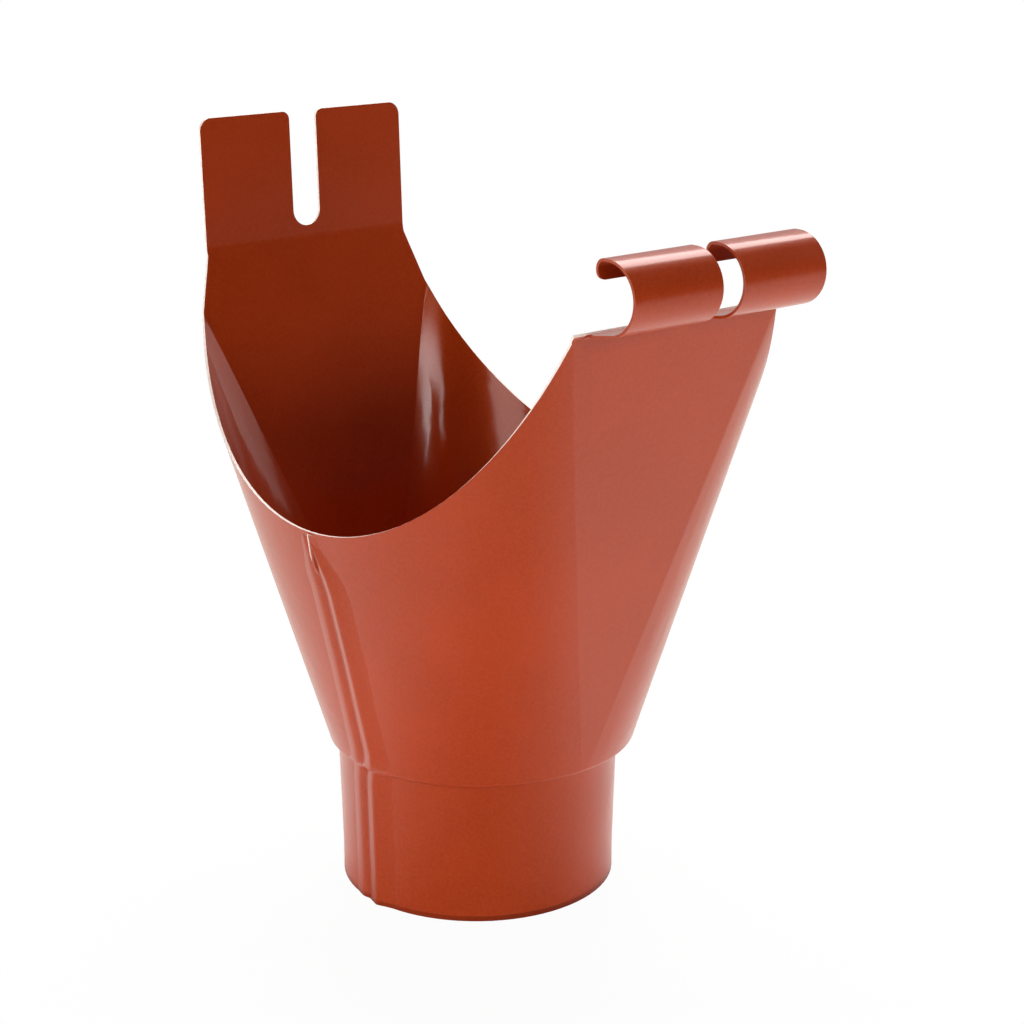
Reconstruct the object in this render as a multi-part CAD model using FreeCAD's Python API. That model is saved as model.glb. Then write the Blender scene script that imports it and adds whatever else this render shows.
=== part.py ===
import FreeCAD, Part
import math
import os

V = FreeCAD.Vector
os.makedirs("parts", exist_ok=True)

# Running outlet for a half-round gutter, folded from one sheet of steel.
# Millimetres. Origin: centre of the spigot's lower rim. X runs along the gutter,
# -Y is the front with the bead hooks, +Y the rear with the clamping tab.

# sheet
SHEET = 0.7
# spigot and shoulder
SPIGOT_R = 37.1
SPIGOT_DRAW = 0.8
SWAGE_Z = 8.6
SHOULDER_STEP = 3.7
SHOULDER_Z = 40.7
SHOULDER_DROP = 2.1
SHOULDER_ROUND = 1.3
SHOULDER_OFF_X = 1.0
SHOULDER_OFF_Y = -0.6
# saddle: the rim of the side walls, lying on the gutter's outside
GUTTER_R = 75.0
SADDLE_OFF = 2.2
SADDLE_DEPTH = 57.2
RIM_MID_X = 54.2
RIM_END_X = 33.5
RIM_BULGE = 0.244
# flat front and rear panels
CREASE_Z = 163.4
PANEL_INSET = 0.9
REAR_CORNER = 0.85
# rear tab
TAB_EXTRA = 0.2
TAB_RISE = 37.1
TAB_LEAN = 2.2
TAB_BEND_R = 10.0
TAB_CORNER_R = 3.5
SLOT_HALF = 4.5
SLOT_DEPTH = 31.9
SLOT_MOUTH_R = 2.2
# front hooks
HOOK_INSET = 2.5
HOOK_GAP = 7.0
CURL_R = 8.9
CURL_OUT = 9.1
CURL_RISE = 11.3
CREASE_R = 0.9
TOP_FLAT = 1.4
TIP_R = 2.5
TIP_DROP = 2.8
TIP_CORNER_R = 2.4
LIP_EXTRA = 0.1
LIP_R = 2.4
NOTCH_R = 1.7
# lock seam
SEAM_Y = 0.1
SEAM_HALF = 2.6
SEAM_TAIL = 5.2
SEAM_RISE = 1.05
SEAM_PINCH = 12.0
SEAM_PINCH_SHARE = 0.45

SPIGOT_TOP_R = SPIGOT_R + SPIGOT_DRAW
SHOULDER_R = SPIGOT_TOP_R + SHOULDER_STEP
RIM_LOW_Z = CREASE_Z - SADDLE_DEPTH
PANEL_TOP_Y = GUTTER_R - PANEL_INSET
TAB_HALF = RIM_END_X + TAB_EXTRA
TAB_TOP_Z = CREASE_Z + TAB_RISE
SLOT_BOTTOM_Z = TAB_TOP_Z - SLOT_DEPTH
HOOK_HALF = RIM_END_X - HOOK_INSET
LIP_HALF = RIM_END_X + LIP_EXTRA
CURL_Y = PANEL_TOP_Y + CURL_OUT
CURL_Z = CREASE_Z + CURL_RISE
GUTTER_Z = RIM_LOW_Z + GUTTER_R
SHOULDER = V(SHOULDER_OFF_X, SHOULDER_OFF_Y, SHOULDER_Z)
LEAN = math.atan2(PANEL_TOP_Y - SHOULDER_R, CREASE_Z - SHOULDER_Z)
WALL_H = SHEET / math.cos(LEAN)
TURN_END = math.acos((GUTTER_Z - CREASE_Z) / GUTTER_R)


def rim_point(turn):
    u = turn / TURN_END
    drop = (1.0 + RIM_BULGE) * u ** 2 - RIM_BULGE * u ** 4
    x = RIM_MID_X - (RIM_MID_X - RIM_END_X) * drop
    return V(x, GUTTER_R * math.sin(turn), GUTTER_Z - GUTTER_R * math.cos(turn))


def shoulder_point(theta):
    return V(SHOULDER_R * math.cos(theta), SHOULDER_R * math.sin(theta), SHOULDER_Z)


def twist(turn, theta):
    # zero when one tangent plane touches both the rim and the shoulder circle
    step = 1e-4
    along_rim = (rim_point(turn + step) - rim_point(turn - step)) * (0.5 / step)
    along_shoulder = V(-math.sin(theta), math.cos(theta), 0)
    ruling = rim_point(turn) - shoulder_point(theta)
    return along_rim.cross(along_shoulder).dot(ruling)


def ruling_angle(turn):
    low = 0.0
    high = math.radians(100.0)
    start = twist(turn, low)
    for _ in range(60):
        mid = 0.5 * (low + high)
        if twist(turn, mid) * start > 0:
            low = mid
        else:
            high = mid
    return 0.5 * (low + high)


def panel_y(z):
    share = (z - SHOULDER_Z) / (CREASE_Z - SHOULDER_Z)
    return SHOULDER_R + share * (PANEL_TOP_Y - SHOULDER_R)


# Side wall: straight rulings from the shoulder circle to the rim on the gutter.
APEX = math.radians(1.5)
REACH = math.pi / 2 - APEX
rear_turn = REAR_CORNER * TURN_END
front_stretch = REACH / ruling_angle(TURN_END) - 1.0
rear_stretch = REACH / ruling_angle(rear_turn) - 1.0
front_pull = PANEL_TOP_Y - GUTTER_R * math.sin(TURN_END)
rear_z = rim_point(rear_turn).z
rear_pull = panel_y(rear_z) - rim_point(rear_turn).y

rim = []
STEPS = 9
for i in range(STEPS, 0, -1):
    u = i / STEPS
    turn = TURN_END * u
    theta = ruling_angle(turn) * (1.0 + front_stretch * u ** 4)
    p = rim_point(turn)
    y = -p.y - front_pull * u ** 4 + SADDLE_OFF * (1.0 - u ** 4)
    rim.append((-theta, V(p.x, y, p.z)))
rim.append((0.0, V(RIM_MID_X, SADDLE_OFF, RIM_LOW_Z)))
for i in range(1, STEPS):
    u = i / (STEPS - 1)
    turn = rear_turn * u
    theta = ruling_angle(turn) * (1.0 + rear_stretch * u ** 4)
    p = rim_point(turn)
    y = p.y + rear_pull * u ** 4 + SADDLE_OFF * (1.0 - u ** 4)
    rim.append((theta, V(p.x, y, p.z)))

params = [r[0] for r in rim]
outer_rim = [r[1] for r in rim]


def inset(theta, p, first, last):
    # the wall's inner face at the same height
    if first or last:
        side = V(math.cos(theta), math.sin(theta), 0)
        half = 0.5 * math.acos(abs(side.y))
        return V(p.x - WALL_H * math.tan(half), p.y - math.copysign(WALL_H, p.y), p.z)
    foot = shoulder_point(theta)
    across = (p - foot).cross(V(-math.sin(theta), math.cos(theta), 0))
    flat = V(across.x, across.y, 0)
    if flat.x * math.cos(theta) + flat.y * math.sin(theta) < 0:
        flat = flat * -1.0
    depth = SHEET * across.Length / flat.Length
    flat.normalize()
    return p - flat * depth


inner_rim = []
for k, (theta, p) in enumerate(rim):
    inner_rim.append(inset(theta, p, k == 0, k == len(rim) - 1))


def spline(points):
    c = Part.BSplineCurve()
    c.interpolate(Points=points, Parameters=params)
    return c.toShape()


def flip(points):
    return [V(-p.x, p.y, p.z) for p in points]


def foot_arc(radius, a0, a1):
    def at(a):
        return SHOULDER + V(radius * math.cos(a), radius * math.sin(a), 0)
    return Part.Arc(at(a0), at(0.5 * (a0 + a1)), at(a1)).toShape()


def line(a, b):
    return Part.LineSegment(a, b).toShape()


def quad(a, b, c, d):
    return Part.Face(Part.makePolygon([a, b, c, d, a]))


# Each skin: two ruled side walls, a flat front panel and a rear panel that runs past the corner.
def skin(radius, points, rear_top):
    right_rim = spline(points)
    left_rim = spline(flip(points))
    right_foot = foot_arc(radius, -REACH, REACH)
    left_foot = foot_arc(radius, math.pi + REACH, math.pi - REACH)
    rear_foot = foot_arc(radius, REACH, math.pi - REACH)
    front_foot = foot_arc(radius, -REACH, -math.pi + REACH)
    front, corner = points[0], points[-1]
    front_line = line(front, V(-front.x, front.y, front.z))
    corner_line = line(corner, V(-corner.x, corner.y, corner.z))
    faces = [
        Part.makeRuledSurface(right_foot, right_rim),
        Part.makeRuledSurface(left_foot, left_rim),
        Part.makeRuledSurface(rear_foot, corner_line),
        Part.makeRuledSurface(front_foot, front_line),
        quad(corner, rear_top, V(-rear_top.x, rear_top.y, rear_top.z), V(-corner.x, corner.y, corner.z)),
    ]
    feet = Part.Wire(Part.__sortEdges__([right_foot, rear_foot, left_foot, front_foot]))
    return faces, feet, right_rim, left_rim, front_line


rear_outer = V(TAB_HALF, PANEL_TOP_Y, CREASE_Z)
rear_inner = V(TAB_HALF, PANEL_TOP_Y - WALL_H, CREASE_Z)
inner_corner = inner_rim[-1]
outer_faces, outer_feet, outer_right, outer_left, outer_front = skin(SHOULDER_R, outer_rim, rear_outer)
inner_faces, inner_feet, inner_right, inner_left, inner_front = skin(
    SHOULDER_R - WALL_H, inner_rim, rear_inner)
foot_ring = Part.Face(outer_feet).cut(Part.Face(inner_feet))
faces = outer_faces + inner_faces + foot_ring.Faces
faces.append(Part.makeRuledSurface(outer_right, inner_right))
faces.append(Part.makeRuledSurface(outer_left, inner_left))
faces.append(Part.makeRuledSurface(outer_front, inner_front))
for side in (1, -1):
    a = V(side * outer_rim[-1].x, outer_rim[-1].y, outer_rim[-1].z)
    b = V(side * rear_outer.x, rear_outer.y, rear_outer.z)
    c = V(side * rear_inner.x, rear_inner.y, rear_inner.z)
    d = V(side * inner_corner.x, inner_corner.y, inner_corner.z)
    faces.append(Part.makeRuledSurface(line(a, b), line(d, c)))
faces.append(quad(
    rear_outer, rear_inner,
    V(-rear_inner.x, rear_inner.y, rear_inner.z), V(-rear_outer.x, rear_outer.y, rear_outer.z)))
shell = Part.makeShell(faces)
shell.sewShape()
body = Part.Solid(shell)
if body.Volume < 0:
    body.reverse()
print("hopper", body.isValid(), shell.isClosed(), round(body.Volume))


# Spigot and shoulder: rings of sheet, the shoulder a little off the spigot's axis.
def turned(stations):
    wires = []
    for r, z, share in stations:
        centre = V(SHOULDER_OFF_X * share, SHOULDER_OFF_Y * share, z)
        wires.append(Part.Wire(Part.makeCircle(r, centre, V(0, 0, 1))))
    return Part.makeLoft(wires, True, True)


wall_tilt = math.atan2(RIM_MID_X - SHOULDER_R, RIM_LOW_Z - SHOULDER_Z)
round_r = SHOULDER_R - SHOULDER_ROUND * math.cos(wall_tilt)
round_z = SHOULDER_Z + SHOULDER_ROUND * math.sin(wall_tilt)
ledge_z = SHOULDER_Z - SHOULDER_DROP


def round_at(radius, degrees):
    a = math.radians(degrees)
    return (round_r + radius * math.cos(a), round_z - radius * math.sin(a))


outer_ring = [(SPIGOT_R, 0, 0), (SPIGOT_R, SWAGE_Z, 0), (SPIGOT_TOP_R, ledge_z - 0.5, 0)]
outer_ring.append((SPIGOT_TOP_R + 0.35, ledge_z, 0.15))
for share, degrees in ((0.8, 72), (0.9, 50), (0.95, 30)):
    r, z = round_at(SHOULDER_ROUND, degrees)
    outer_ring.append((r, z, share))
outer_ring.append((SHOULDER_R, SHOULDER_Z, 1))
inner_ring = [(SPIGOT_R - SHEET, 0, 0), (SPIGOT_R - SHEET, SWAGE_Z, 0)]
inner_ring.append((SPIGOT_TOP_R - SHEET, ledge_z + 0.35, 0.1))
for share, degrees in ((0.8, 66), (0.9, 42)):
    r, z = round_at(SHOULDER_ROUND - SHEET, degrees)
    inner_ring.append((r, z, share))
inner_ring.append((SHOULDER_R - WALL_H, SHOULDER_Z, 1))
spigot = turned(outer_ring).cut(turned(inner_ring))


# A strip of sheet drawn in the Y-Z plane from the panel's outside, in front coordinates.
def strip(moves, half):
    y, z = -PANEL_TOP_Y, CREASE_Z
    heading = math.pi / 2 + LEAN
    outside = []
    inside = []
    py, pz = y + WALL_H, z

    def point(a, b):
        return V(-half, a, b)

    for kind, amount, radius in moves:
        if kind == "line":
            ny = y + amount * math.cos(heading)
            nz = z + amount * math.sin(heading)
            outside.append(line(point(y, z), point(ny, nz)))
            y, z = ny, nz
            qy = y + SHEET * math.sin(heading)
            qz = z - SHEET * math.cos(heading)
            inside.append(line(point(py, pz), point(qy, qz)))
            py, pz = qy, qz
        else:
            sign = 1.0 if amount > 0 else -1.0
            cy = y - sign * radius * math.sin(heading)
            cz = z + sign * radius * math.cos(heading)
            inner_r = radius + sign * SHEET

            def at(r, a):
                return point(cy + sign * r * math.sin(a), cz - sign * r * math.cos(a))

            h1 = heading + amount
            hm = heading + 0.5 * amount
            outside.append(Part.Arc(at(radius, heading), at(radius, hm), at(radius, h1)).toShape())
            inside.append(Part.Arc(at(inner_r, heading), at(inner_r, hm), at(inner_r, h1)).toShape())
            end = at(radius, h1)
            y, z = end.y, end.z
            end = at(inner_r, h1)
            py, pz = end.y, end.z
            heading = h1
    cap = line(point(y, z), point(py, pz))
    foot = line(point(-PANEL_TOP_Y, CREASE_Z), point(-PANEL_TOP_Y + WALL_H, CREASE_Z))
    wire = Part.Wire(Part.__sortEdges__(outside + [cap] + inside + [foot]))
    return Part.Face(wire).extrude(V(2 * half, 0, 0)), V(0, y, z)


# Rear tab: the rear panel turned upright above the gutter's back edge.
straighten = LEAN - math.radians(TAB_LEAN)
tab_moves = [
    ("line", 0.5, 0),
    ("turn", -straighten, TAB_BEND_R + SHEET),
    ("line", TAB_TOP_Z - CREASE_Z, 0),
]
tab, tab_end = strip(tab_moves, TAB_HALF)
tab = tab.mirror(V(0, 0, 0), V(0, 1, 0))

q = TAB_CORNER_R * (1 - math.sqrt(0.5))
m = SLOT_MOUTH_R * (1 - math.sqrt(0.5))
slot_c = SLOT_BOTTOM_Z + SLOT_HALF
half_edges = [
    line(V(TAB_HALF, 0, CREASE_Z), V(TAB_HALF, 0, TAB_TOP_Z - TAB_CORNER_R)),
    Part.Arc(
        V(TAB_HALF, 0, TAB_TOP_Z - TAB_CORNER_R),
        V(TAB_HALF - q, 0, TAB_TOP_Z - q),
        V(TAB_HALF - TAB_CORNER_R, 0, TAB_TOP_Z)).toShape(),
    line(V(TAB_HALF - TAB_CORNER_R, 0, TAB_TOP_Z), V(SLOT_HALF + SLOT_MOUTH_R, 0, TAB_TOP_Z)),
    Part.Arc(
        V(SLOT_HALF + SLOT_MOUTH_R, 0, TAB_TOP_Z),
        V(SLOT_HALF + m, 0, TAB_TOP_Z - m),
        V(SLOT_HALF, 0, TAB_TOP_Z - SLOT_MOUTH_R)).toShape(),
    line(V(SLOT_HALF, 0, TAB_TOP_Z - SLOT_MOUTH_R), V(SLOT_HALF, 0, slot_c)),
]
half_profile = Part.Compound(half_edges)
other_half = half_profile.mirror(V(0, 0, 0), V(1, 0, 0))
edges = list(half_profile.Edges) + list(other_half.Edges)
edges.append(Part.Arc(V(SLOT_HALF, 0, slot_c), V(0, 0, SLOT_BOTTOM_Z), V(-SLOT_HALF, 0, slot_c)).toShape())
edges.append(line(V(-TAB_HALF, 0, CREASE_Z), V(TAB_HALF, 0, CREASE_Z)))
tab_face = Part.Face(Part.Wire(Part.__sortEdges__(edges)))
tab = tab.common(tab_face.extrude(V(0, 2 * PANEL_TOP_Y, 0)))

# Front hooks: flange turned out at the crease, then curled over the gutter's bead.
dy = CURL_Y - PANEL_TOP_Y
dz = CURL_Z - CREASE_Z - CREASE_R
reach = math.hypot(dy, dz)
flange_heading = math.atan2(dz, -dy) + math.asin(CURL_R / reach)
flange_length = math.sqrt(reach ** 2 - CURL_R ** 2)
crease_turn = flange_heading - (math.pi / 2 + LEAN)
setback = (CREASE_R + SHEET) * math.tan(crease_turn / 2)
hook_moves = [
    ("line", 0.5, 0),
    ("turn", crease_turn, CREASE_R),
    ("line", flange_length - setback, 0),
    ("turn", -flange_heading, CURL_R),
    ("line", TOP_FLAT, 0),
    ("turn", -math.pi / 2, TIP_R),
    ("line", TIP_DROP, 0),
]
hook, tip = strip(hook_moves, HOOK_HALF)
gap = HOOK_GAP / 2
gap_y = -PANEL_TOP_Y - gap
cutter = Part.makeBox(HOOK_GAP, CURL_Y, CURL_Z, V(-gap, gap_y - CURL_Y, CREASE_Z - SHEET))
cutter = cutter.fuse(Part.makeCylinder(gap, CURL_Z, V(0, gap_y, CREASE_Z - SHEET), V(0, 0, 1)))
hook = hook.cut(cutter)
for side in (1, -1):
    at = V(side * HOOK_HALF, -PANEL_TOP_Y - NOTCH_R - 0.2, CREASE_Z - NOTCH_R)
    hook = hook.cut(Part.makeCylinder(NOTCH_R, 6 * NOTCH_R, at, V(0, 0, 1)))
    for edge, inward in ((side * HOOK_HALF, -side), (side * gap, side)):
        c = TIP_CORNER_R
        low_x = min(edge, edge + inward * c)
        block = Part.makeBox(c, 4 * SHEET, c, V(low_x, tip.y - 2 * SHEET, tip.z))
        axle = Part.makeCylinder(c, 4 * SHEET, V(edge + inward * c, tip.y - 2 * SHEET, tip.z + c), V(0, 1, 0))
        hook = hook.cut(block.cut(axle))

# Lip: what is left of the panel's edge beside the hooks.
lip, lip_end = strip([("line", 0.5, 0), ("turn", crease_turn * 0.5, LIP_R)], LIP_HALF)
lip = lip.cut(Part.makeBox(2 * HOOK_HALF, CURL_Y, CURL_Z, V(-HOOK_HALF, -CURL_Y - GUTTER_R, CREASE_Z - SHEET)))

# Lock seam: the front sheet's folded edge, proud of the -X wall and steep on its rear side.
section_steps = (
    (1.0, -0.5), (0.94, 0.35), (0.66, 0.9), (0.35, 1.0), (-0.3, 0.84), (-1.0, 0.42),
)


def seam_wire(z, x, bend, share, half):
    pts = []
    for along, rise in section_steps:
        y = SEAM_Y + along * half
        h = rise * SEAM_RISE * share if rise > 0 else -0.4
        pts.append(V(x - h + y * y / (2 * bend), y, z))
    y = SEAM_Y - SEAM_TAIL * half / SEAM_HALF
    pts.append(V(x + 0.12 + y * y / (2 * bend), y, z))
    pts.append(V(x + 0.5 + y * y / (2 * bend), y * 0.9, z))
    return Part.makePolygon(pts + [pts[0]])


foot_x = SHOULDER_R - SHOULDER_OFF_X
slope = (RIM_MID_X - foot_x) / (RIM_LOW_Z - SHOULDER_Z)
pinch_z = RIM_LOW_Z - SEAM_PINCH
stations = [
    (0.0, SPIGOT_R, SPIGOT_R, 1.0, SEAM_HALF),
    (SWAGE_Z, SPIGOT_R, SPIGOT_R, 1.0, SEAM_HALF),
    (ledge_z - 0.5, SPIGOT_TOP_R, SPIGOT_R, 1.0, SEAM_HALF),
    (SHOULDER_Z - 0.4, foot_x - 0.3, SHOULDER_R, 1.0, SEAM_HALF),
    (SHOULDER_Z + 1.0, foot_x + slope, SHOULDER_R, 1.0, SEAM_HALF),
    (pinch_z, foot_x + (pinch_z - SHOULDER_Z) * slope, RIM_MID_X * 1.6, 1.0, SEAM_HALF),
    (RIM_LOW_Z - 0.6, RIM_MID_X - 0.6 * slope, RIM_MID_X * 2, SEAM_PINCH_SHARE, SEAM_HALF * SEAM_PINCH_SHARE),
]
wires = [seam_wire(z, -x, bend, share, half) for z, x, bend, share, half in stations]
ridge = Part.makeLoft(wires, True, True)

outlet = body.fuse([spigot, tab, hook, lip]).removeSplitter()
print("before seam", outlet.isValid(), round(outlet.Volume), len(outlet.Solids))
outlet = outlet.fuse(ridge)
solids = outlet.Solids
solids.sort(key=lambda s: -s.Volume)
result = solids[0]
print("solids", len(solids), "valid", result.isValid(), "volume", round(result.Volume), "faces", len(result.Faces))
print("box", result.BoundBox)
result.exportStep("parts/outlet_body.step")
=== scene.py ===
# Gutter running outlet: one folded sheet of painted steel, dressed over its CAD solid.
import bpy
import math
from mathutils import Matrix, Vector
from bpy.props import FloatProperty, FloatVectorProperty, PointerProperty


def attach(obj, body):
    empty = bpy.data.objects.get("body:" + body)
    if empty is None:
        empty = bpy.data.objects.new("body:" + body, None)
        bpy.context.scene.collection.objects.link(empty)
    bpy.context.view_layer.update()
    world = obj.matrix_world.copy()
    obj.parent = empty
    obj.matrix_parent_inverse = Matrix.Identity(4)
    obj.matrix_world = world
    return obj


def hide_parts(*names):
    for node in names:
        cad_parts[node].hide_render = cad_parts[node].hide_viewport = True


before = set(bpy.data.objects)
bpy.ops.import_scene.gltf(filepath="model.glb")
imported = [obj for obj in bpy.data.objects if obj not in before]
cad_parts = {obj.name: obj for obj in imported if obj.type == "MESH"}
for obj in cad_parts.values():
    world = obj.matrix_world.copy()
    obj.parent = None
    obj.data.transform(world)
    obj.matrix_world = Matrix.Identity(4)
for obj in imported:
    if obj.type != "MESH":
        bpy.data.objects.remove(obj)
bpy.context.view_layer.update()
BODY = "outlet_body"
PAINT = "Brick red paint on steel"

bl_info = {
    "name": "Gutter running outlet",
    "version": (1, 0, 0),
    "blender": (4, 5, 0),
    "location": "3D View > Sidebar > Outlet",
    "description": "Dresses a folded steel gutter outlet and sets it on a pale floor",
    "category": "Object",
}


# ---------- shader maths ----------

class Field:
    """A shader socket whose sums and products add their own Math nodes."""

    def __init__(self, finish, socket):
        self.finish = finish
        self.socket = socket

    def sum(self, operation, first, second):
        return self.finish.node("ShaderNodeMath", {"operation": operation}, {0: first, 1: second})

    def __add__(self, other):
        return self.sum("ADD", self, other)

    def __radd__(self, other):
        return self.sum("ADD", other, self)

    def __mul__(self, other):
        return self.sum("MULTIPLY", self, other)

    def __rmul__(self, other):
        return self.sum("MULTIPLY", other, self)


class Finish:
    """A material, or the studio's surroundings, put together node by node."""

    def __init__(self, owner):
        self.owner = owner
        owner.use_nodes = True
        self.tree = owner.node_tree
        self.tree.nodes.clear()

    def node(self, kind, settings=None, inputs=None, out=0):
        made = self.tree.nodes.new(kind)
        for key, value in (settings or {}).items():
            setattr(made, key, value)
        for key, value in (inputs or {}).items():
            if isinstance(value, Field):
                self.tree.links.new(value.socket, made.inputs[key])
            else:
                made.inputs[key].default_value = value
        return Field(self, made.outputs[out])

    def place(self):
        return self.node("ShaderNodeTexCoord", out="Object")

    def ray(self, kind):
        return self.node("ShaderNodeLightPath", out=kind)

    def noise(self, size, detail=2.0, rough=0.5):
        settings = {"noise_dimensions": "3D"}
        inputs = {"Vector": self.place(), "Scale": 1.0 / size, "Detail": detail, "Roughness": rough}
        return self.node("ShaderNodeTexNoise", settings, inputs)

    def grade(self, value, low, high):
        settings = {"interpolation_type": "SMOOTHSTEP"}
        inputs = {"Value": value, "From Min": low, "From Max": high}
        return self.node("ShaderNodeMapRange", settings, inputs)

    def blend(self, factor, first, second):
        settings = {"data_type": "RGBA"}
        return self.node("ShaderNodeMix", settings, {0: factor, 6: first, 7: second}, out=2)

    def bump(self, height, strength, distance):
        inputs = {"Height": height, "Strength": strength, "Distance": distance}
        return self.node("ShaderNodeBump", None, inputs)

    def close(self, **inputs):
        named = {key.replace("_", " "): value for key, value in inputs.items()}
        return self.end(self.node("ShaderNodeBsdfPrincipled", None, named))

    def end(self, shader, kind="ShaderNodeOutputMaterial"):
        last = self.tree.nodes.new(kind)
        self.tree.links.new(shader.socket, last.inputs["Surface"])
        return self.owner


def rgba(colour, gain=1.0):
    return (colour[0] * gain, colour[1] * gain, colour[2] * gain, 1.0)


def paint_finish(sizes):
    finish = Finish(bpy.data.materials.new(PAINT))
    grain = finish.noise(sizes.grain, 3.0, 0.62)
    cloud = finish.noise(sizes.cloud, 3.0, 0.55)
    orange_peel = finish.noise(sizes.peel, 2.0, 0.5)
    tone = finish.grade(grain, 0.3, 0.7)
    shade = finish.grade(cloud, 0.35, 0.68)
    deep = finish.blend(shade, rgba(sizes.paint, 0.93), rgba(sizes.paint, 1.06))
    colour = finish.blend(tone * 0.5, deep, rgba(sizes.speck))
    height = orange_peel + grain * 0.45
    return finish.close(
        Base_Color=colour,
        Roughness=sizes.dull + shade * 0.04 + tone * 0.05,
        Normal=finish.bump(height, 0.32, 0.00012),
        Specular_Tint=rgba(sizes.sheen),
        Coat_Weight=sizes.varnish,
        Coat_Roughness=sizes.varnish_dull,
    )


# The cut edges' cream is partly the pale bare metal of the cut and partly a painted highlight: it is made
# lighter to stand in for the light caught along the rim.
def edge_and_highlight_finish(sizes):
    finish = Finish(bpy.data.materials.new("Pale cut edge of the sheet"))
    burr = finish.noise(sizes.burr, 3.0, 0.6)
    worn = finish.grade(burr, 0.42, 0.75)
    colour = finish.blend(worn * 0.6, rgba(sizes.edge), rgba(sizes.edge, 0.72))
    return finish.close(
        Base_Color=colour,
        Roughness=0.34 + worn * 0.2,
        Normal=finish.bump(burr, 0.25, 0.0001),
    )


# ---------- sizes and colours ----------

class FinishSizes(bpy.types.PropertyGroup):
    paint: FloatVectorProperty(
        name="Paint", description="Brick red of the paint", subtype="COLOR", size=3,
        default=(0.315, 0.0265, 0.001), min=0, max=1)
    speck: FloatVectorProperty(
        name="Speck", description="Lighter grain in the paint", subtype="COLOR", size=3,
        default=(0.37, 0.044, 0.006), min=0, max=1)
    # Cream of the cut edges: partly bare metal, partly a painted highlight along the rim.
    edge: FloatVectorProperty(
        name="Cut edge", description="Cream of the sheet's bright cut edge", subtype="COLOR", size=3,
        default=(1.0, 0.84, 0.75), min=0, max=1)
    grain: FloatProperty(
        name="Grain", description="Size of the paint's grain", default=0.00075, unit="LENGTH")
    peel: FloatProperty(
        name="Orange peel", description="Size of the dimples in the paint", default=0.0016, unit="LENGTH")
    cloud: FloatProperty(
        name="Cloud", description="Size of the paint's broad tones", default=0.045, unit="LENGTH")
    burr: FloatProperty(
        name="Burr", description="Size of the marks on the cut edges", default=0.0011, unit="LENGTH")
    sheen: FloatVectorProperty(
        name="Sheen", description="Warm tint of the paint's own soft shine", subtype="COLOR", size=3,
        default=(1.0, 0.2, 0.04), min=0, max=1)
    dull: FloatProperty(
        name="Dullness", description="Roughness of the paint", default=0.31, subtype="FACTOR", min=0, max=1)
    varnish: FloatProperty(
        name="Varnish", description="Share of the clear top coat", default=0.5, subtype="FACTOR",
        min=0, max=1)
    varnish_dull: FloatProperty(
        name="Varnish dullness", description="Roughness of the clear top coat", default=0.12,
        subtype="FACTOR", min=0, max=1)


class SheetSizes(bpy.types.PropertyGroup):
    sheet: FloatProperty(
        name="Sheet", description="Thickness of the steel sheet", default=0.0007, unit="LENGTH")
    round: FloatProperty(
        name="Edge round", description="Round of the cut edges", default=0.0002, unit="LENGTH")
    sharp: FloatProperty(
        name="Sharp angle", description="Least turn at a cut edge", default=math.radians(50),
        unit="ROTATION")
    fold: FloatProperty(
        name="Seam fold", description="Least turn that shows as a fold in the seam",
        default=math.radians(38), unit="ROTATION")
    merge: FloatProperty(
        name="Merge", description="Points nearer than this are one", default=0.000004, unit="LENGTH")


class StageSizes(bpy.types.PropertyGroup):
    camera_place: FloatVectorProperty(
        name="Camera", description="Where the camera stands", size=3, subtype="TRANSLATION",
        default=(-0.36577, -0.44126, 0.27063))
    camera_way: FloatVectorProperty(
        name="View", description="Which way the camera looks", size=3, subtype="DIRECTION",
        default=(0.62397, 0.72816, -0.28364))
    camera_roll: FloatProperty(
        name="Roll", description="How far the camera is tipped", default=math.radians(0.03),
        unit="ROTATION")
    lens: FloatProperty(name="Lens", description="Focal length in mm", default=79.10)
    floor: FloatVectorProperty(
        name="Floor", description="Pale floor", subtype="COLOR", size=3, default=(0.86, 0.86, 0.86))
    white: FloatProperty(
        name="White", description="How far the floor is lifted to white for the camera",
        default=0.96, subtype="FACTOR", min=0, max=1)
    floor_half: FloatProperty(
        name="Floor reach", description="Half the floor's side", default=3.0, unit="LENGTH")
    mirrored: FloatProperty(
        name="Mirrored glow", description="How bright the floor behind the outlet is in its reflections",
        default=0.55, subtype="FACTOR", min=0, max=1)
    warm: FloatVectorProperty(
        name="Mirrored tone", description="Warm white of that glow", subtype="COLOR", size=3,
        default=(1.0, 0.93, 0.8), min=0, max=1)
    room: FloatProperty(
        name="Room", description="Dim light from all around", default=0.05, min=0)


# ---------- helpers ----------

def pick(obj):
    if bpy.context.object and bpy.context.object.mode != "OBJECT":
        bpy.ops.object.mode_set(mode="OBJECT")
    bpy.ops.object.select_all(action="DESELECT")
    obj.select_set(True)
    bpy.context.view_layer.objects.active = obj


def apply_all(obj):
    pick(obj)
    for modifier in list(obj.modifiers):
        bpy.ops.object.modifier_apply(modifier=modifier.name)


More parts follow.
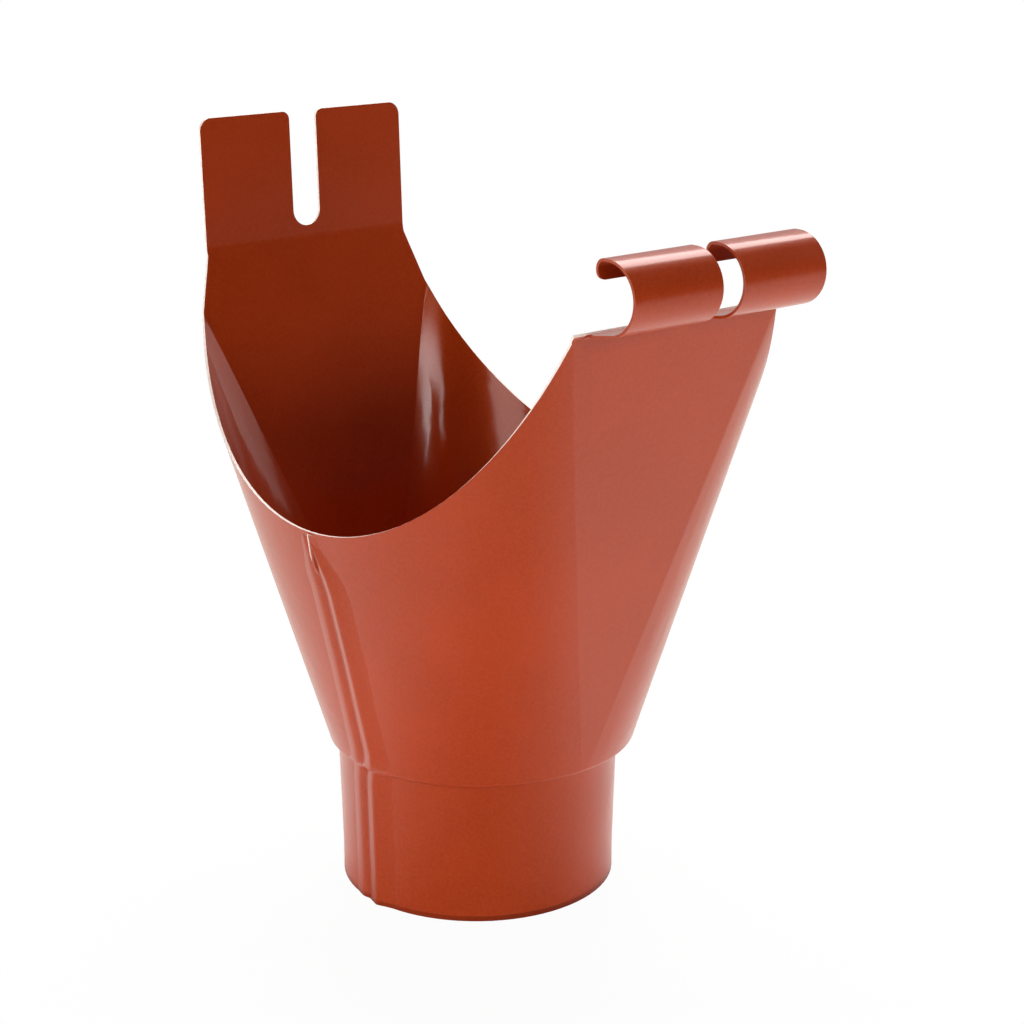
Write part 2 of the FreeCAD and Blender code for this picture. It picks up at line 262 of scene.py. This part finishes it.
def cut_edge_faces(mesh, sharp, sheet):
    """Faces of the narrow bands between two sharp edges: the thickness of the sheet."""
    beside = {}
    for face in mesh.polygons:
        for key in face.edge_keys:
            beside.setdefault(key, []).append(face.index)
    links = {face.index: [] for face in mesh.polygons}
    length = {}
    for key, pair in beside.items():
        a, b = (mesh.vertices[i].co for i in key)
        length[key] = (a - b).length
        if len(pair) == 2:
            turn = mesh.polygons[pair[0]].normal.angle(mesh.polygons[pair[1]].normal, 0.0)
            if turn < sharp:
                links[pair[0]].append((pair[1], key))
                links[pair[1]].append((pair[0], key))
    seen = set()
    narrow = []
    widest = 1.6 * sheet
    for start in links:
        if start in seen:
            continue
        seen.add(start)
        band = [start]
        inner = set()
        for face in band:
            for other, key in links[face]:
                inner.add(key)
                if other not in seen:
                    seen.add(other)
                    band.append(other)
        area = sum(mesh.polygons[face].area for face in band)
        rim = 0.0
        for face in band:
            rim += sum(length[key] for key in mesh.polygons[face].edge_keys if key not in inner)
        if rim > 0 and 2.0 * area / rim < widest:
            narrow += band
    return narrow


def move_points(obj, points, shift):
    """Move the numbered points as a selection in edit mode."""
    for element in (*obj.data.vertices, *obj.data.edges, *obj.data.polygons):
        element.select = False
    for index in points:
        obj.data.vertices[index].select = True
    bpy.ops.object.mode_set(mode="EDIT")
    bpy.ops.mesh.select_mode(type="VERT")
    bpy.ops.transform.translate(value=shift)
    bpy.ops.object.mode_set(mode="OBJECT")


# The plain ridge of the solid: y in mm of each line of points along it, and its height in mm.
RIDGE_LINES = ((2.54, 0.38), (1.82, 0.95), (1.01, 1.05), (-0.68, 0.89), (-2.50, 0.43))


RIDGE_TOP = 0.095      # the pinched length above this height stays as it is
RIDGE_SIDE = -0.0365   # the sheet's outer face lies further to -X than this
RIDGE_REACH = 0.06     # half the width of a line of points, in mm


def lower_ridge(skin):
    """Press the plain ridge flat, since the folded seam is laid over it."""
    pick(skin)
    for line, height in RIDGE_LINES:
        points = []
        for point in skin.data.vertices:
            x, y, z = point.co
            outside = x < RIDGE_SIDE and point.normal.x < -0.1
            if outside and z < RIDGE_TOP and abs(y * 1000 - line) < RIDGE_REACH:
                points.append(point.index)
        move_points(skin, points, (height / 1000, 0.0, 0.0))


# ---------- operators ----------
# ---------- operators ----------

class OUTLET_OT_body(bpy.types.Operator):
    """Dress the folded sheet: merged skin, rounded cut edges, paint, and pale bare edges whose cream colour
    also holds a painted highlight
    """

    bl_idname = "outlet.body"
    bl_label = "Folded body"

    def execute(self, context):
        sizes = context.scene.outlet_sheet
        finishes = context.scene.outlet_finish
        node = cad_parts[BODY]
        pick(node)
        skin = node.copy()
        skin.data = node.data.copy()
        skin.name = "outlet_sheet"
        context.collection.objects.link(skin)
        pick(skin)
        bpy.ops.object.mode_set(mode="EDIT")
        bpy.ops.mesh.select_all(action="SELECT")
        bpy.ops.mesh.remove_doubles(threshold=sizes.merge)
        bpy.ops.mesh.select_all(action="DESELECT")
        bpy.ops.object.mode_set(mode="OBJECT")
        lower_ridge(skin)
        skin.data.materials.clear()
        skin.data.materials.append(paint_finish(finishes))
        # Second material: the cut edges, pale bare metal with a painted highlight.
        skin.data.materials.append(edge_and_highlight_finish(finishes))
        edge_faces = set(cut_edge_faces(skin.data, sizes.sharp, sizes.sheet))
        if not edge_faces:
            self.report({"ERROR"}, "no cut edges were found on the sheet")
            raise RuntimeError("no cut edges were found on the sheet")
        for face in skin.data.polygons:
            face.material_index = 1 if face.index in edge_faces else 0
        pick(skin)
        bpy.ops.object.shade_smooth_by_angle(angle=sizes.sharp)
        rounding = skin.modifiers.new("Edge round", "BEVEL")
        rounding.width = sizes.round
        rounding.segments = 2
        rounding.limit_method = "ANGLE"
        rounding.angle_limit = sizes.sharp
        rounding.material = 1
        rounding.miter_outer = "MITER_ARC"
        shading = skin.modifiers.new("Flat panels", "WEIGHTED_NORMAL")
        shading.mode = "FACE_AREA"
        shading.weight = 80
        shading.keep_sharp = True
        apply_all(skin)
        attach(skin, "root")
        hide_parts(BODY)
        return {"FINISHED"}


# Outline across the folded seam, in mm: way to the front from its crest, and height over the wall.
SEAM_OUTLINE = (
    (-11.0, -0.12), (-9.2, 0.12), (-7.6, 0.38), (-6.5, 0.48), (-5.8, 0.42), (-4.8, 0.18), (-4.0, -0.02),
    (-3.8, 0.12), (-2.0, 0.6), (-0.6, 1.06), (0.0, 1.2), (0.5, 1.12), (1.5, 0.82),
    (2.8, 0.45), (4.4, 0.14), (6.2, -0.1), (5.6, -0.4), (-3.6, -0.4), (-10.6, -0.4),
)
# Cross-sections up the wall, in mm: height, crest's y, wall's middle x and y, wall's radius, and the
# shares of the outline's width and height.
SEAM_SECTIONS = (
    (0.06, -3.4, 0.0, 0.0, 37.1, 1.0, 1.0),
    (8.6, -3.4, 0.0, 0.0, 37.1, 1.0, 1.0),
    (35.0, -3.5, 0.0, 0.0, 37.82, 1.0, 1.0),
    (38.0, -4.0, 0.0, 0.0, 37.9, 1.0, 1.0),
    (40.4, -5.6, 0.95, -0.57, 41.4, 1.0, 1.0),
    (41.6, -6.5, 1.16, -0.6, 41.9, 1.0, 1.0),
    (45.0, -7.1, 1.49, -0.6, 43.0, 1.0, 1.0),
    (70.0, -6.4, 25.31, 0.4, 72.0, 1.0, 1.0),
    (90.0, -5.2, 45.16, 1.0, 96.0, 1.0, 1.0),
    (94.0, -4.3, 48.33, 1.2, 100.0, 0.98, 0.97),
    (96.5, -3.2, 51.0, 1.3, 103.2, 0.86, 0.86),
    (100.0, -1.5, 56.1, 1.55, 109.0, 0.64, 0.66),
    (103.4, 0.2, 62.0, 1.9, 115.6, 0.44, 0.44),
    (104.7, 0.8, 64.35, 2.0, 118.2, 0.36, 0.2),
)


def seam_points(section):
    """Places of the outline's points in one cross-section, in metres."""
    height, crest, mid_x, mid_y, radius, width, rise = section
    points = []
    for way, over in SEAM_OUTLINE:
        y = crest - way * width
        reach = radius + (over * rise if over > 0 else over)
        x = mid_x - (reach ** 2 - (y - mid_y) ** 2) ** 0.5
        points.append(Vector((x, y, height)) / 1000)
    return points


class OUTLET_OT_seam(bpy.types.Operator):
    """Fold the lock seam up the spigot and the hopper's wall"""

    bl_idname = "outlet.seam"
    bl_label = "Lock seam"

    def execute(self, context):
        bpy.ops.object.select_all(action="DESELECT")
        bpy.ops.mesh.primitive_circle_add(
            vertices=len(SEAM_OUTLINE), radius=0.005, fill_type="NGON", location=(0, 0, 0))
        seam = context.object
        seam.name = "lock_seam"
        level = [point.index for point in seam.data.vertices]
        for number, section in enumerate(SEAM_SECTIONS):
            if number:
                level = self.extruded(seam, level)
            for index, target in zip(level, seam_points(section)):
                move_points(seam, [index], target - seam.data.vertices[index].co)
            self.select_end(seam, level)
        bpy.ops.object.mode_set(mode="EDIT")
        bpy.ops.mesh.select_all(action="SELECT")
        bpy.ops.mesh.normals_make_consistent(inside=False)
        bpy.ops.object.mode_set(mode="OBJECT")
        bpy.ops.object.shade_smooth_by_angle(angle=context.scene.outlet_sheet.fold)
        seam.data.materials.append(bpy.data.materials[PAINT])
        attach(seam, "root")
        return {"FINISHED"}

    def extruded(self, seam, below):
        """Extrude the end face; its new points, each over the old point of the same place."""
        bpy.ops.object.mode_set(mode="EDIT")
        bpy.ops.mesh.extrude_region_move(TRANSFORM_OT_translate={"value": (0, 0, 0.0001)})
        bpy.ops.object.mode_set(mode="OBJECT")
        points = seam.data.vertices
        rest = [point.index for point in points if point.select]
        if len(rest) != len(SEAM_OUTLINE):
            self.report({"ERROR"}, "a cross-section of the seam is not whole")
            raise RuntimeError("a cross-section of the seam is not whole")
        level = []
        for old in below:
            place = points[old].co
            nearest = min(rest, key=lambda index: (points[index].co - place).length)
            rest.remove(nearest)
            level.append(nearest)
        return level

    def select_end(self, seam, level):
        """Select the face at the open end, ready for the next extrusion."""
        bpy.ops.object.mode_set(mode="EDIT")
        bpy.ops.mesh.select_mode(type="FACE")
        bpy.ops.mesh.select_all(action="DESELECT")
        bpy.ops.object.mode_set(mode="OBJECT")
        for face in seam.data.polygons:
            face.select = set(face.vertices) == set(level)
        bpy.ops.object.mode_set(mode="EDIT")
        bpy.ops.mesh.select_mode(type="FACE")
        bpy.ops.object.mode_set(mode="OBJECT")


# Lamps: name, place, what it points at, its two sides, power, and whether the outlet mirrors it.
LAMPS = (
    ("Over light", (0.5, 0.5, 1.2), (0, 0, 0.15), (1.2, 1.0), 24.0, True),
    ("Table light", (0.35, -0.4, 0.001), (0.35, -0.4, 1.0), (1.1, 1.0), 3.0, False),
    ("Back light", (0.8, 1.05, 0.5), (0, 0, 0.1), (1.6, 0.9), 1.8, True),
    ("Left light", (-1.1, 0.0, 0.37), (0, 0, 0.12), (0.45, 0.8), 5.0, True),
    ("Front light", (-0.06, -1.1, 0.58), (0, 0, 0.12), (0.5, 0.2), 3.6, True),
    ("Right light", (1.2, -0.25, 0.4), (0, 0, 0.1), (0.7, 0.8), 2.2, True),
    ("Rear left light", (-0.95, 0.75, 0.3), (0, 0, 0.1), (0.8, 0.7), 4.0, True),
)
SHADOW_REACH = (0.15, 0.7)      # the floor's faint shadow fades out between these distances
GLOW_WAY = (0.64, 0.77)         # way along the floor in which the mirrored glow grows
GLOW_REACH = (-0.06, 0.12)      # where along that way it starts and where it is full


class OUTLET_OT_stage(bpy.types.Operator):
    """Set the pale floor, the soft lights and the camera"""

    bl_idname = "outlet.stage"
    bl_label = "Stage"

    def execute(self, context):
        sizes = context.scene.outlet_stage
        self.floor(sizes)
        for lamp in LAMPS:
            self.light(*lamp)
        self.world(context.scene, sizes)
        self.camera(context.scene, sizes)
        context.scene.view_settings.view_transform = "Standard"
        return {"FINISHED"}

    def floor(self, sizes):
        bpy.ops.object.select_all(action="DESELECT")
        bpy.ops.mesh.primitive_plane_add(size=2 * sizes.floor_half, location=(0, 0, 0))
        floor = bpy.context.object
        floor.name = "floor"
        finish = Finish(bpy.data.materials.new("Pale floor"))
        board = finish.node("ShaderNodeBsdfDiffuse", None, {"Color": rgba(sizes.floor)})
        warm = {"Color": rgba(sizes.warm), "Strength": 1.0}
        white = {"Color": (1, 1, 1, 1), "Strength": 1.0}
        mirrored_glow = finish.node("ShaderNodeEmission", None, warm)
        plain_white = finish.node("ShaderNodeEmission", None, white)
        place = finish.place()
        right = finish.node("ShaderNodeSeparateXYZ", None, {0: place}, out=0)
        back = finish.node("ShaderNodeSeparateXYZ", None, {0: place}, out=1)
        behind = finish.grade(right * GLOW_WAY[0] + back * GLOW_WAY[1], *GLOW_REACH)
        mirror = finish.ray("Is Glossy Ray") * behind * sizes.mirrored
        reach = finish.node("ShaderNodeVectorMath", {"operation": "LENGTH"}, {0: place}, out=1)
        open_floor = finish.grade(reach, *SHADOW_REACH) * (1.0 - sizes.white)
        lift = finish.ray("Is Camera Ray") * (open_floor + sizes.white)
        inputs = {0: mirror, 1: board, 2: mirrored_glow}
        mirrored = finish.node("ShaderNodeMixShader", None, inputs)
        mixed = finish.node("ShaderNodeMixShader", None, {0: lift, 1: mirrored, 2: plain_white})
        floor.data.materials.append(finish.end(mixed))

    def light(self, name, place, aim, size, power, mirrored):
        lamp = bpy.data.lights.new(name, "AREA")
        lamp.shape = "RECTANGLE"
        lamp.size, lamp.size_y = size
        lamp.energy = power
        obj = bpy.data.objects.new(name, lamp)
        bpy.context.collection.objects.link(obj)
        way = Vector(aim) - Vector(place)
        obj.matrix_world = Matrix.Translation(place) @ way.to_track_quat("-Z", "Y").to_matrix().to_4x4()
        obj.visible_camera = False
        obj.visible_glossy = mirrored

    def world(self, scene, sizes):
        scene.world = bpy.data.worlds.new("Studio")
        finish = Finish(scene.world)
        white = {"Color": (1, 1, 1, 1), "Strength": 1.0}
        dim = {"Color": (1, 1, 1, 1), "Strength": sizes.room}
        seen = finish.node("ShaderNodeBackground", None, white)
        lit = finish.node("ShaderNodeBackground", None, dim)
        inputs = {0: finish.ray("Is Camera Ray"), 1: lit, 2: seen}
        finish.end(finish.node("ShaderNodeMixShader", None, inputs), "ShaderNodeOutputWorld")

    def camera(self, scene, sizes):
        data = bpy.data.cameras.new("Camera")
        data.lens = sizes.lens
        data.sensor_width = 36.0
        data.clip_start = 0.01
        camera = bpy.data.objects.new("Camera", data)
        bpy.context.collection.objects.link(camera)
        turn = Vector(sizes.camera_way).to_track_quat("-Z", "Y").to_matrix().to_4x4()
        roll = Matrix.Rotation(sizes.camera_roll, 4, "Z")
        camera.matrix_world = Matrix.Translation(sizes.camera_place) @ turn @ roll
        scene.camera = camera


class OUTLET_PT_panel(bpy.types.Panel):
    bl_idname = "OUTLET_PT_panel"
    bl_label = "Outlet"
    bl_space_type = "VIEW_3D"
    bl_region_type = "UI"
    bl_category = "Outlet"

    def draw(self, context):
        for group in (context.scene.outlet_sheet, context.scene.outlet_finish, context.scene.outlet_stage):
            box = self.layout.box()
            for name in group.__annotations__:
                box.prop(group, name)
        for operator in STEPS:
            self.layout.operator(operator.bl_idname)


GROUPS = (
    ("outlet_finish", FinishSizes),
    ("outlet_sheet", SheetSizes),
    ("outlet_stage", StageSizes),
)
STEPS = (OUTLET_OT_body, OUTLET_OT_seam, OUTLET_OT_stage)


def register():
    for name, group in GROUPS:
        bpy.utils.register_class(group)
        setattr(bpy.types.Scene, name, PointerProperty(type=group))
    for step in STEPS:
        bpy.utils.register_class(step)
    bpy.utils.register_class(OUTLET_PT_panel)


def unregister():
    bpy.utils.unregister_class(OUTLET_PT_panel)
    for step in reversed(STEPS):
        bpy.utils.unregister_class(step)
    for name, group in reversed(GROUPS):
        delattr(bpy.types.Scene, name)
        bpy.utils.unregister_class(group)


def main():
    register()
    bpy.ops.outlet.body()
    bpy.ops.outlet.seam()
    bpy.ops.outlet.stage()


if __name__ == "__main__":
    main()
